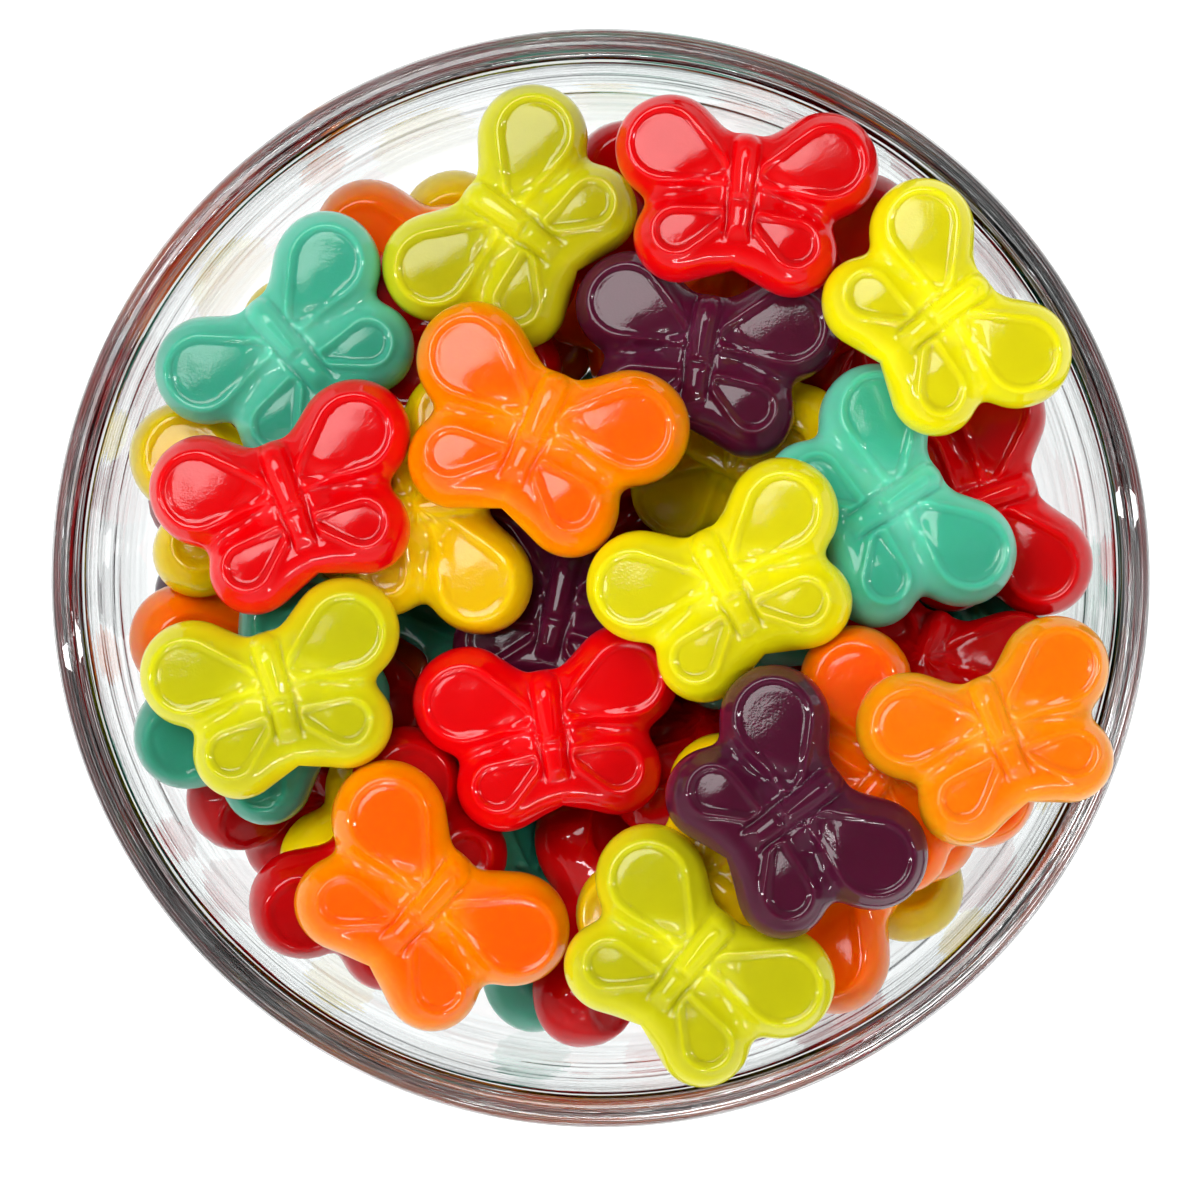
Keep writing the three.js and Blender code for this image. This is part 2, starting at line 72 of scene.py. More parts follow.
def taper_distance(x, y, taper):
    dx, dy = taper.x1 - taper.x0, taper.y1 - taper.y0
    length = math.hypot(dx, dy)
    along = ((x - taper.x0) * dx + (y - taper.y0) * dy) / length
    aside = np.abs((x - taper.x0) * dy - (y - taper.y0) * dx) / length
    sine = (taper.r0 - taper.r1) / length
    cosine = math.sqrt(1 - sine * sine)
    reach = cosine * along - sine * aside
    near = np.hypot(along, aside) - taper.r0
    far = np.hypot(along - length, aside) - taper.r1
    between = cosine * aside + sine * along - taper.r0
    return np.where(reach < 0, near, np.where(reach > cosine * length, far, between))


def blended(a, b):
    overlap = np.maximum(WING_BLEND - np.abs(a - b), 0) / WING_BLEND
    return np.minimum(a, b) - overlap**2 * WING_BLEND / 4


def outline_distance(x, y):
    side = np.abs(x)
    upper = taper_distance(side, y, UPPER_WING)
    lower = taper_distance(side, y, LOWER_WING)
    return blended(blended(upper, lower), taper_distance(side, y, BODY))


def outline_radius(angles):
    """Halves the gap between a radius inside the outline and one outside it, again and again."""
    inside, outside = np.zeros_like(angles), np.full_like(angles, 30.0)
    for _ in range(30):
        middle = (inside + outside) / 2
        beyond = outline_distance(middle * np.cos(angles), POLE_Y + middle * np.sin(angles)) > 0
        inside, outside = np.where(beyond, inside, middle), np.where(beyond, middle, outside)
    return inside


turns = np.linspace(0, 2 * math.pi, 720)
reach = outline_radius(turns)
print("wing span", round(2 * float(np.max(reach * np.cos(turns))), 1), "mm")

# %% [markdown]
# ## The relief of the mould
#
# The face that lay at the bottom of the starch hollow carries the relief: a sunk panel in each
# wing, a raised bead round it, and a body with a groove each side, a rib and a waist. It could be
# sculpted, but every feature follows the outline of a taper, so its height is a step or a bump
# of the distance to that taper, and one function gives the height anywhere.

# %% Heights of the moulded face
EDGE_HEIGHT = 3.4  # where the outline is widest
PLATEAU = 8.9
SHOULDER = 3.7
MIDDLE = Taper(0, -5.8, 5.0, 0, 2.6, 5.0)  # the thick part round the body, inside the outline
UPPER_PANEL = Taper(3.3, 2.1, 0.8, 11.5, 5.15, 4.45)
LOWER_PANEL = Taper(3.1, -4.5, 0.5, 8.5, -6.9, 2.6)
PANELS = (UPPER_PANEL, LOWER_PANEL)
PANEL_DEPTH = 0.55
PANEL_STEP, STEP_START = 0.5, 0.35  # mm of slope at a panel's edge, and how much of it lies outside
PANEL_CROWN = 0.5
CROWN_WIDTH = 1.3  # as a share of the panel's larger radius
BEAD_RISE = 0.45
BEAD_AWAY = 0.75
BEAD_WIDTH = 0.5
BEAD_FADE = 0.9  # how far from the body the beads fade out
BODY_RISE = 1.2
BODY_GROOVE, GROOVE_AWAY, GROOVE_WIDTH = 0.45, 0.35, 0.4
RIB = Taper(0, -0.9, 0.45, 0, 4.8, 0.8)
RIB_RISE = 0.25
WAIST_Y, WAIST_DEPTH, WAIST_WIDTH = -1.9, 0.45, 0.55
ABDOMEN_FADE = 2.6
GRAIN_START, GRAIN_FADE = 0.3, 0.6


def smoothstep(t):
    t = np.clip(t, 0, 1)
    return t * t * (3 - 2 * t)


def bump(away, width):
    return np.exp(-((away / width) ** 2))


def upper_height(x, y):
    side = np.abs(x)
    outside = blended(outline_distance(x, y), taper_distance(side, y, MIDDLE))
    inward = np.clip(-outside / SHOULDER, 0, 1)
    height = EDGE_HEIGHT + (PLATEAU - EDGE_HEIGHT) * np.sqrt(1 - (1 - inward) ** 2)
    body = taper_distance(side, y, BODY)
    away = [taper_distance(side, y, panel) - BEAD_AWAY for panel in PANELS]
    beads = np.maximum(*[bump(gap, BEAD_WIDTH) for gap in away])
    height = height + BEAD_RISE * beads * smoothstep((body + 0.1) / BEAD_FADE)
    for panel in PANELS:
        sunk = smoothstep(STEP_START - taper_distance(side, y, panel) / PANEL_STEP)
        middle = np.hypot(side - (panel.x0 + 2 * panel.x1) / 3, y - (panel.y0 + 2 * panel.y1) / 3)
        height = height + sunk * (PANEL_CROWN * bump(middle, CROWN_WIDTH * panel.r1) - PANEL_DEPTH)
    inside = np.clip(-body / BODY.r0, 0, 1)
    fade = smoothstep((y - BODY.y0) / ABDOMEN_FADE + 0.35)
    waist = 1 - WAIST_DEPTH * bump(y - WAIST_Y, WAIST_WIDTH)
    height = height + BODY_RISE * np.sqrt(1 - (1 - inside) ** 2) * fade * waist
    height = height - BODY_GROOVE * bump(body - GROOVE_AWAY, GROOVE_WIDTH) * fade * smoothstep(inward * 1.4)
    return height + RIB_RISE * smoothstep(0.5 - taper_distance(side, y, RIB) / 0.5)


def starch_grain(x, y):
    """1 on the sunk panels, where the starch leaves a fine grain, and 0 elsewhere."""
    side = np.abs(x)
    nearest = np.minimum(*[taper_distance(side, y, panel) for panel in PANELS])
    return smoothstep(GRAIN_START - nearest / GRAIN_FADE)


grid_y = np.linspace(-8, 8, 5)
print("heights down the body", np.round(upper_height(np.zeros(5), grid_y), 2))

# %% [markdown]
# ## One butterfly as a mesh
#
# The outline is star-shaped about a point of the body, so the mesh is spokes and rings, closed by
# one vertex on each face. Below the widest line the side rounds in to the flat back, which was
# the open face of the hollow. Two numbers travel with each vertex for the materials: how near it
# is to the thin outer edge, and how much starch grain it has. Three levels of detail keep the
# heap light: fine ones on top, plainer ones under them, and light ones for those that only show
# through gaps and through the glass.

# %% Butterfly meshes at three levels of detail
BACK_ROUNDING = 1.7
SIDE_STEPS = 6
BACK_RINGS = (0.8, 0.4)
THIN_EDGE_WIDTH = 2.2
Detail = namedtuple("Detail", "name spokes rings")
DETAILS = (Detail("fine", 200, 56), Detail("plain", 108, 22), Detail("light", 56, 12))


def shell_faces(count, rings):
    """Faces of a closed shell: its first vertex, rings of count vertices, and its last vertex."""
    faces = []
    for k in range(count):
        after = (k + 1) % count
        faces.append((0, 1 + k, 1 + after))
        for inner in range(1, 1 + (rings - 1) * count, count):
            outer = inner + count
            faces.append((inner + k, outer + k, outer + after, inner + after))
        last = 1 + (rings - 1) * count
        faces.append((last + k, 1 + rings * count, last + after))
    return faces


def mesh_object(name, points, faces):
    mesh = bpy.data.meshes.new(name)
    mesh.from_pydata([tuple(p) for p in points], [], faces)
    mesh.shade_smooth()
    made = bpy.data.objects.new(name, mesh)
    bpy.context.scene.collection.objects.link(made)
    return made


def butterfly_rings(spokes, upper_rings):
    angles = np.linspace(0, 2 * math.pi, spokes, endpoint=False)
    edge = outline_radius(angles)
    even = np.linspace(0, 1, upper_rings + 1)[1:]
    for share in 0.5 * even + 0.5 * np.sin(even * math.pi / 2):
        x, y = share * edge * np.cos(angles), POLE_Y + share * edge * np.sin(angles)
        yield x, y, upper_height(x, y) if share < 1 else np.full(spokes, EDGE_HEIGHT)
    for turn in np.linspace(0, math.pi / 2, SIDE_STEPS + 1)[1:]:
        radius = edge - BACK_ROUNDING * (1 - math.cos(turn))
        x, y = radius * np.cos(angles), POLE_Y + radius * np.sin(angles)
        yield x, y, np.full(spokes, EDGE_HEIGHT * (1 - math.sin(turn)))
    for share in BACK_RINGS:
        radius = share * (edge - BACK_ROUNDING)
        yield radius * np.cos(angles), POLE_Y + radius * np.sin(angles), np.zeros(spokes)


def butterfly(detail):
    top = upper_height(np.zeros(1), np.full(1, POLE_Y))[0]
    rings = list(butterfly_rings(detail.spokes, detail.rings))
    sheets = [np.column_stack(ring) for ring in rings]
    points = np.vstack([[(0, POLE_Y, top)], *sheets, [(0, POLE_Y, 0)]])
    points -= (0, 0, PLATEAU / 2)
    made = mesh_object(detail.name + "_butterfly", points * MM, shell_faces(detail.spokes, len(rings)))
    x, y, z = points.T
    # how near the thin outer edge is, which the jelly uses for a painted glow
    thin = bump(outline_distance(x, y), THIN_EDGE_WIDTH)
    grain = np.where(z > 0, starch_grain(x, y), 0)
    for label, values in (("thin_edge", thin), ("starch_grain", grain)):
        attribute = made.data.attributes.new(label, "FLOAT", "POINT")
        attribute.data.foreach_set("value", values.astype(np.float32))
    return made


masters = [butterfly(detail) for detail in DETAILS]
print({master.name: len(master.data.polygons) for master in masters}, "faces")

# %% [markdown]
# ## Where each butterfly lies
#
# The fixed model holds a faceted butterfly at every place, and only its mesh says how it lies.
# Weighing a shape gives its own axes: a body turned in the hand spins most easily about its
# longest side. Adding up the tetrahedra between each triangle and the middle gives the volume,
# the centre and those axes, and the heavier side along each axis tells head from tail and face
# from back. Comparing them with the master's axes gives the turn, and comparing volumes gives
# the size.

# %% Weighing a mesh
FACETED_VOLUMES = {"top": 5280, "under": 5120}  # mm3 of a faceted butterfly of size 1
SETTLING = np.array((0, 0, 0.7))  # mm that an upper one sinks into the soft ones under it
Pose = namedtuple("Pose", "colour level centre turn size")


def corners_of(thing):
    mesh = thing.data
    mesh.calc_loop_triangles()
    points = np.empty(3 * len(mesh.vertices))
    mesh.vertices.foreach_get("co", points)
    triangles = np.empty(3 * len(mesh.loop_triangles), int)
    mesh.loop_triangles.foreach_get("vertices", triangles)
    return points.reshape(-1, 3) / MM, triangles.reshape(-1, 3)


def weigh(thing):
    points, triangles = corners_of(thing)
    a, b, c = (points[triangles[:, k]] for k in range(3))
    volumes = np.einsum("ij,ij->i", a, np.cross(b, c)) / 6
    centre = (volumes[:, None] * (a + b + c) / 4).sum(axis=0) / volumes.sum()
    a, b, c = a - centre, b - centre, c - centre
    volumes = np.einsum("ij,ij->i", a, np.cross(b, c)) / 6
    spread = sum(np.einsum("i,ij,ik->jk", volumes, v, v) for v in (a, b, c, a + b + c))
    across, length, _ = np.linalg.eigh(spread)[1].T  # shortest side first
    for axis in (across, length):
        u, v, w = a @ axis, b @ axis, c @ axis
        lopsided = (u + v + w) * (u * u + v * v + w * w) + u * v * w
        axis *= np.sign((volumes * lopsided).sum())
    return volumes.sum(), centre, np.column_stack([np.cross(length, across), length, across])


_, master_centre, master_axes = weigh(masters[0])


def pose_of(node):
    level, _, colour = node.name.split("_")
    volume, centre, axes = weigh(node)
    size = (volume / FACETED_VOLUMES[level]) ** (1 / 3)
    turn = axes @ master_axes.T
    place = centre - size * turn @ master_centre
    return Pose(colour, ("top", "under").index(level), place - SETTLING * (level == "top"), turn, size)


gummy_nodes = [node for name, node in sorted(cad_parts.items()) if name not in ("bowl", "heap")]
poses = [pose_of(node) for node in gummy_nodes]
tilts = [math.degrees(math.acos(abs(pose.turn[2, 2]))) for pose in poses if pose.level == 0]
print(len(poses), "butterflies laid out, the upper ones tilted by up to", round(max(tilts)), "degrees")

# %% [markdown]
# ## The inside of the bowl
#
# Filling the spaces needs to know where the glass is. The inner wall of the bowl is one smooth
# curve from the floor to the rim, drawn here as a Bezier curve with the same corner points as the
# fixed model, in millimetres of radius and height.

# %% The bowl's two faces
BOWL_HEIGHT, RIM_RADIUS, RIM_THICKNESS = 66.0, 75.0, 4.8
FOOT_RADIUS, FOOT_ROUNDING, FOOT_RING_WIDTH, FOOT_RECESS = 36.0, 1.6, 6.0, 1.4
FLOOR_THICKNESS, FLOOR_RADIUS = 7.0, 22.0
RIM_HALF = RIM_THICKNESS / 2
RIM_BASE = BOWL_HEIGHT - RIM_HALF
OUTER_CURVE = (
    (FOOT_RADIUS, FOOT_ROUNDING),
    (FOOT_RADIUS + 32, FOOT_ROUNDING + 1),
    (RIM_RADIUS - 1, BOWL_HEIGHT - 36),
    (RIM_RADIUS, RIM_BASE),
)
INNER_CURVE = (
    (RIM_RADIUS - RIM_THICKNESS, RIM_BASE),
    (RIM_RADIUS - RIM_THICKNESS - 0.8, BOWL_HEIGHT - 36),
    (FLOOR_RADIUS + 38, FLOOR_THICKNESS + 1),
    (FLOOR_RADIUS, FLOOR_THICKNESS),
)


def bezier(corners, steps):
    t = np.linspace(0, 1, steps + 1)[:, None]
    a, b, c, d = (np.array(corner, float) for corner in corners)
    return (1 - t) ** 3 * a + 3 * t * (1 - t) ** 2 * b + 3 * t * t * (1 - t) * c + t**3 * d


wall_curve = bezier(INNER_CURVE, 60)[::-1]


def wall_radius(height):
    return np.interp(height, wall_curve[:, 1], wall_curve[:, 0])


def glass_height(radius):
    return np.interp(radius, wall_curve[:, 0], wall_curve[:, 1])


print("inside radius at half height", round(float(wall_radius(BOWL_HEIGHT / 2)), 1), "mm")

# %% [markdown]
# ## The butterflies that hide under the others
#
# A real heap goes on below what shows, and slivers of it glow in the gaps and through the side of
# the glass. Blender could drop rigid bodies, but that would disturb the ones on top. Instead
# butterflies are laid on the glass in rings, and then all of these are pushed apart a little at a
# time, as when a bowl is shaken, while the ones on top stay where they are. How badly one is
# caught comes from one distance to a butterfly, taken as a slab with rounded edges.

# %% How deep one butterfly is caught in the others
SLAB_ROUNDING = 2.0
REACH = 39.0  # two butterflies further apart than this can't touch
CLEARANCE = 0.15
STIFFNESS = 2.0  # how much more the glass, the floor and the skin count than soft jelly
SKIN_STEP = 2.0
GAP_TOP = 42.0  # how high a hidden one may stand where nothing lies over it
SKIN_DEPTH = 2.5  # how far below the uppermost faces a hidden one has to stay
PROBE_SHIFT = 0.01
PROBE_SPOKES = 24
# share of the outline's radius, and height
PROBE_RINGS = ((0.93, 3.6), (1, -1.05), (0.93, -4.2), (0.55, 4.4), (0.55, -4.4))
SKY_HIGH = 100  # rays that look for the skin start from this height
TINY = 1e-9  # keeps a division by a length of nothing from failing


def slab_distance(points):
    across = outline_distance(points[..., 0], points[..., 1]) + SLAB_ROUNDING
    above = np.abs(points[..., 2]) - PLATEAU / 2 + SLAB_ROUNDING
    corner = np.hypot(np.maximum(across, 0), np.maximum(above, 0))
    return corner + np.minimum(np.maximum(across, above), 0) - SLAB_ROUNDING


def slab_normals(points):
    """The ways out of a butterfly from points in it, as unit vectors."""
    shifts = np.eye(3) * PROBE_SHIFT
    slopes = [slab_distance(points + shift) - slab_distance(points - shift) for shift in shifts]
    slopes = np.column_stack(slopes)
    return slopes / (np.linalg.norm(slopes, axis=1, keepdims=True) + TINY)


def probe_points():
    """Points spread over a butterfly: round its edge at three heights, and on both faces."""
    angles = np.linspace(0, 2 * math.pi, PROBE_SPOKES, endpoint=False)
    found = []
    for share, height in PROBE_RINGS:
        radius = share * outline_radius(angles)
        x, y = radius * np.cos(angles), POLE_Y + radius * np.sin(angles)
        found.append(np.column_stack([x, y, np.full(len(x), height)]))
    return np.vstack(found)


PROBES = probe_points()


def skin_of(nodes):
    """How high a hidden one may stand over a grid: just below what shows, or GAP_TOP in a gap."""
    corners, triangles = [], []
    for node in nodes:
        points, faces = corners_of(node)
        triangles.extend((faces + len(corners)).tolist())
        corners.extend(points.tolist())
    tree = BVHTree.FromPolygons(corners, triangles)
    side = np.arange(-RIM_RADIUS, RIM_RADIUS + SKIN_STEP, SKIN_STEP)
    skin = np.full((len(side), len(side)), GAP_TOP)
    for i, x in enumerate(side):
        for j, y in enumerate(side):
            hit = tree.ray_cast(Vector((x, y, SKY_HIGH)), Vector((0, 0, -1)))[0]
            if hit:
                skin[i, j] = hit.z - SKIN_DEPTH
    return skin


skin = skin_of(gummy_nodes)


def skin_height(points):
    cells = np.rint((points[:, :2] + RIM_RADIUS) / SKIN_STEP).astype(int)
    return skin[tuple(np.clip(cells, 0, len(skin) - 1).T)]


FLOOR_OF_HEAP = FLOOR_THICKNESS + 0.3


def world_probes(pose):
    return pose.size * PROBES @ pose.turn.T + pose.centre


def pushes(pose, others):
    """Where the pose is caught: points, unit ways out and depths, in millimetres."""
    parts = ("centre", "turn", "size")
    centres, turns, sizes = (np.array([getattr(other, part) for other in others]) for part in parts)
    own = world_probes(pose)
    into = np.einsum("npi,nij->npj", own - centres[:, None], turns) / sizes[:, None, None]
    depth = CLEARANCE - slab_distance(into)
    body, point = np.nonzero(depth > 0)
    ways = np.einsum("hij,hj->hi", turns[body], slab_normals(into[body, point]))
    found = [(own[point], ways, depth[body, point])]
    theirs = np.array([world_probes(other) for other in others]).reshape(-1, 3)
    within = (theirs - pose.centre) @ pose.turn / pose.size
    depth = CLEARANCE - slab_distance(within)
    hit = depth > 0
    found.append((theirs[hit], -slab_normals(within[hit]) @ pose.turn.T, depth[hit]))
    radius = np.hypot(own[:, 0], own[:, 1])
    outside = np.maximum(radius - wall_radius(own[:, 2]), 0)
    under = np.maximum(glass_height(radius) - own[:, 2], 0)
    slant = np.hypot(outside, under) + TINY
    inwards = -own[:, :2] * (under / (radius * slant + TINY))[:, None]
    off_wall = np.column_stack([inwards, outside / slant])
    up = np.tile((0.0, 0.0, 1.0), (len(own), 1))
    walls = (
        (off_wall, outside * under / slant),
        (up, FLOOR_OF_HEAP - own[:, 2]),
        (-up, own[:, 2] - skin_height(own)),
    )
    for way, depth in walls:
        hit = depth > 0
        found.append((own[hit], way[hit], STIFFNESS * depth[hit]))
    return [np.concatenate(part) for part in zip(*found)]


print("the skin lies between", round(skin.min()), "and", round(skin.max()), "mm")

# %% [markdown]
# ## Adding nodes
#
# Every node tree here, for a shape or for a material, is built with one small function: it makes
# a node, sets its own settings, sets the values of its sockets, and links other nodes into them.
# Bumps are all alike but for their height, so they have a function of their own.

# %% Functions that add nodes
def add(tree, kind, values=None, links=None, **settings):
    node = tree.nodes.new(kind)
    for name, setting in settings.items():
        setattr(node, name, setting)
    for socket, value in (values or {}).items():
        node.inputs[socket].default_value = value
    for socket, source in (links or {}).items():
        tree.links.new(source, node.inputs[socket])
    return node


def bump_node(tree, height, links):
    return add(tree, "ShaderNodeBump", {"Distance": height, "Strength": 1.0}, links)


def linear(colour):
    """sRGB hex colour as the linear numbers that Blender's sockets take."""
    channels = [int(colour[k : k + 2], 16) / 255 for k in (0, 2, 4)]
    return [c / 12.92 if c <= 0.04045 else ((c + 0.055) / 1.055) ** 2.4 for c in channels] + [1]


print("mid grey is", round(linear("808080")[0], 3), "linear")

# %% [markdown]
# ## Laying the butterflies out
#
# The butterflies are copies of three meshes, which is work for Geometry Nodes. A mesh of loose
# points holds one point for each butterfly, with its turn, its size and its level of detail. The
# tree puts the right master on each point, makes the copies real, and then shifts all vertices
# by a soft noise, so that no two are quite alike: jelly sags a little as it dries. One tree
# serves all the colours, and its named inputs say which meshes and which material to use.

# %% The tree that lays them out
def scatter_tree():
    tree = bpy.data.node_groups.new("Lay out butterflies", "GeometryNodeTree")
    tree.interface.new_socket("Places", in_out="INPUT", socket_type="NodeSocketGeometry")
    for detail in DETAILS:
        tree.interface.new_socket(detail.name, in_out="INPUT", socket_type="NodeSocketObject")
    tree.interface.new_socket("Jelly", in_out="INPUT", socket_type="NodeSocketMaterial")
    for name in ("Unevenness", "Lump width"):
        tree.interface.new_socket(name, in_out="INPUT", socket_type="NodeSocketFloat")
    tree.interface.new_socket("Butterflies", in_out="OUTPUT", socket_type="NodeSocketGeometry")
    given = add(tree, "NodeGroupInput").outputs
    level = add(tree, "GeometryNodeInputNamedAttribute", {"Name": "level"}, data_type="INT").outputs[0]
    turn = add(tree, "GeometryNodeInputNamedAttribute", {"Name": "turn"}, data_type="QUATERNION").outputs[0]
    size = add(tree, "GeometryNodeInputNamedAttribute", {"Name": "size"}, data_type="FLOAT").outputs[0]
    together = add(tree, "GeometryNodeJoinGeometry")
    for number, detail in enumerate(DETAILS):
        same = {"data_type": "INT", "operation": "EQUAL"}
        chosen = add(tree, "FunctionNodeCompare", {3: number}, {2: level}, **same)
        master = add(tree, "GeometryNodeObjectInfo", {}, {"Object": given[detail.name]})
        wanted = {
            "Points": given["Places"],
            "Selection": chosen.outputs[0],
            "Instance": master.outputs["Geometry"],
            "Rotation": turn,
            "Scale": size,
        }
        laid = add(tree, "GeometryNodeInstanceOnPoints", {}, wanted)
        tree.links.new(laid.outputs[0], together.inputs[0])
    real = add(tree, "GeometryNodeRealizeInstances", {}, {0: together.outputs[0]})
    position = add(tree, "GeometryNodeInputPosition").outputs[0]
    spacing = add(tree, "ShaderNodeMath", {0: 1.0}, {1: given["Lump width"]}, operation="DIVIDE")
    lumps = {"Vector": position, "Scale": spacing.outputs[0]}
    noise = add(tree, "ShaderNodeTexNoise", {"Detail": 0.0}, lumps).outputs["Color"]
    centred = add(tree, "ShaderNodeVectorMath", {1: (0.5,) * 3}, {0: noise}, operation="SUBTRACT")
    pulled = {0: centred.outputs[0], "Scale": given["Unevenness"]}
    shift = add(tree, "ShaderNodeVectorMath", {}, pulled, operation="SCALE").outputs[0]
    uneven = add(tree, "GeometryNodeSetPosition", {}, {"Geometry": real.outputs[0], "Offset": shift})
    smooth = add(tree, "GeometryNodeSetShadeSmooth", {}, {0: uneven.outputs[0]}).outputs[0]
    finish = add(tree, "GeometryNodeSetMaterial", {}, {"Geometry": smooth, "Material": given["Jelly"]})
    add(tree, "NodeGroupOutput", {}, {0: finish.outputs[0]})
    return tree


lay_out = scatter_tree()
print(lay_out.name, "has", len(lay_out.nodes), "nodes")

# %% [markdown]
# The core of the heap, of which hardly anything shows, stays one lump of jelly. Round it the
# hidden ones start in rings that follow the glass, each turned at random, and the pushes move and
# turn them round after round. One that stays deeply caught is taken out again. A hint says which
# colour glows in which gap, so a hidden butterfly near a hint takes its colour.

# %% Laying the hidden ones round the core
CORE_RADIUS, CORE_TOP = 23.0, 22.0
Ring = namedtuple("Ring", "count radius above")
RINGS = (Ring(3, 17, 0), Ring(6, 36, 1), Ring(8, 46, 9), Ring(6, 24, 14), Ring(5, 36, 20))
ROUNDS = 60
LAST_SHAKE = 36  # after this round nothing is shaken any more
SHAKE = 0.6
GYRATION = 75.0  # squared radius of gyration of a butterfly, in mm2
FARTHEST_PUSH = 1.5
MOST_CAUGHT = 3.6  # one caught deeper than this is taken out; real jelly gives rather less
HINTS = (
    ("red", 36, 48), ("teal", -41, 48), ("red", 21, -62), ("red", 64, 7), ("red", -58, 22),
    ("purple", -57, -29), ("teal", 59, -31), ("teal", -6, 36), ("purple", -5, 28), ("red", -16, 9),
    ("red", 42, 19), ("red", 3, 9), ("orange", 11, -18), ("red", -25, -24), ("red", -46, -7),
    ("yellow", 8, -64), ("teal", 21, -9), ("yellow", 18, 60), ("orange", -5, 41), ("orange", 26, -60),
)
HINT_REACH = 13.0
HALF_SPAN = 6  # mm to each side over which the slope of the glass is taken
LEAN = 0.15  # radians
SMALLEST, LARGEST = 0.96, 1.04
COLOURS = ("red", "orange", "amber", "yellow", "lime", "teal", "purple")
SHARES = (0.25, 0.2, 0.03, 0.22, 0.04, 0.16, 0.1)


def small_turn(angle):
    """A turn about a random axis by about this angle, in radians."""
    axis = rng.normal(size=3)
    return np.array(Matrix.Rotation(rng.normal() * angle, 3, Vector(axis).normalized()))


def near_to(pose, laid):
    away = [np.linalg.norm(other.centre - pose.centre) for other in laid]
    return [other for other, gap in zip(laid, away) if other is not pose and gap < REACH]


def deepest(pose, laid):
    return max(pushes(pose, near_to(pose, laid))[2], default=0)


def pushed(pose, laid):
    """The pose after one round of being pushed out of whatever it is caught in."""
    points, ways, depths = pushes(pose, near_to(pose, laid))
    if not len(depths):
        return pose
    weights = (depths**2 / depths.sum())[:, None]
    shift = (weights * ways).sum(axis=0)
    spin = (weights * np.cross(points - pose.centre, ways)).sum(axis=0) / GYRATION
    shift *= min(1, FARTHEST_PUSH / (np.linalg.norm(shift) + TINY))
    turn = np.array(Matrix.Rotation(np.linalg.norm(spin), 3, Vector(spin)))
    return pose._replace(centre=pose.centre + shift, turn=turn @ pose.turn)


def hidden_colour(centre):
    away = [math.hypot(centre[0] - x, centre[1] - y) for _, x, y in HINTS]
    if min(away) < HINT_REACH:
        return HINTS[int(np.argmin(away))][0]
    return COLOURS[rng.choice(len(COLOURS), p=SHARES)]


def laid_on_glass(ring, turn):
    """A butterfly along the glass, as far above it as its ring says, turned at random in its plane."""
    rise = glass_height(ring.radius + HALF_SPAN) - glass_height(ring.radius - HALF_SPAN)
    slope = math.atan(rise / (2 * HALF_SPAN))
    radius = ring.radius - math.sin(slope) * PLATEAU / 2
    centre = np.array((radius * math.cos(turn), radius * math.sin(turn), 0))
    centre[2] = glass_height(ring.radius) + ring.above + PLATEAU / 2
    lean = Matrix.Rotation(turn, 3, "Z") @ Matrix.Rotation(-slope, 3, "Y")
    spin = Matrix.Rotation(rng.uniform(0, 2 * math.pi), 3, "Z")
    flip = Matrix.Rotation(math.pi * rng.integers(2), 3, "X")
    side = spin @ flip
    return Pose("", 2, centre, small_turn(LEAN) @ np.array(lean @ side), rng.uniform(SMALLEST, LARGEST))


def fill_spaces(laid):
    hidden = []
    for ring in RINGS:
        first = rng.uniform(0, 2 * math.pi)
        for k in range(ring.count):
            hidden.append(laid_on_glass(ring, first + 2 * math.pi * k / ring.count))
    for number in range(ROUNDS):
        hidden = [pushed(pose, laid + hidden) for pose in hidden]
        if number < LAST_SHAKE:
            hidden = [pose._replace(centre=pose.centre + rng.normal(size=3) * SHAKE) for pose in hidden]
    while hidden:
        depths = [deepest(pose, laid + hidden) for pose in hidden]
        if max(depths) < MOST_CAUGHT:
            break
        del hidden[int(np.argmax(depths))]
    return laid + [pose._replace(colour=hidden_colour(pose.centre)) for pose in hidden]


poses = fill_spaces(poses)
hidden = [pose for pose in poses if pose.level == 2]
counts = {colour: sum(pose.colour == colour for pose in poses) for colour in COLOURS}
print(len(hidden), "hidden butterflies, and in all", counts)

# %% [markdown]
# ## Fruit jelly
#
# Gummy jelly is sugar and gelatine set from a syrup. Light goes a few millimetres into it,
# scatters, takes up the colour and comes out again, so it glows, most of all at the thin edges.
# That is subsurface scattering, and on top of it a brighter colour towards the outline is a
# painted glow. The skin was moulded in starch, which leaves a fine grain on the panels, and a film
# of oil over it gives the highlights. So the jelly itself hardly reflects in the shader, and a
# smooth coat over it does. Butterflies deep in the heap get less light, and their darker, richer
# colour is painted shade mixed into the base colour.

# %% Fruit jelly, moulded in starch and oiled
Jelly = namedtuple("Jelly", "body edge deep glow")  # the second colour is a painted glow at the thin edges, the third is painted shade under other sweets
JELLIES = {
    "red": Jelly("d00005", "e20209", "800002", (1.0, 0.10, 0.10)),
    "orange": Jelly("ee6000", "fc8a00", "f25000", (1.0, 0.45, 0.10)),
    "amber": Jelly("f27c03", "fc9c0c", "e87400", (1.0, 0.55, 0.12)),
    "yellow": Jelly("c8bf0a", "e8e008", "ffb600", (1.0, 0.95, 0.20)),
    "lime": Jelly("bab60c", "dcd814", "ccb800", (0.9, 1.0, 0.25)),
    "teal": Jelly("3ea68a", "66c8ac", "085a46", (0.35, 1.0, 0.80)),
    "purple": Jelly("4e1029", "501430", "260512", (0.8, 0.15, 0.45)),
}
SCATTER_DEPTH = 2.0 * MM
CLOUD_WIDTH = 9.0 * MM
STARCH_GRAIN = 0.35 * MM  # real starch is about 0.02 mm, too fine to show
GRAIN_HEIGHT = 0.016 * MM
WAVE_WIDTH = 3.0 * MM
WAVE_HEIGHT = 0.06 * MM
ROUGHNESS = {"To Min": 0.3, "To Max": 0.42}  # off the panels, and on them
OIL_ROUGHNESS = {"To Min": 0.03, "To Max": 0.1}
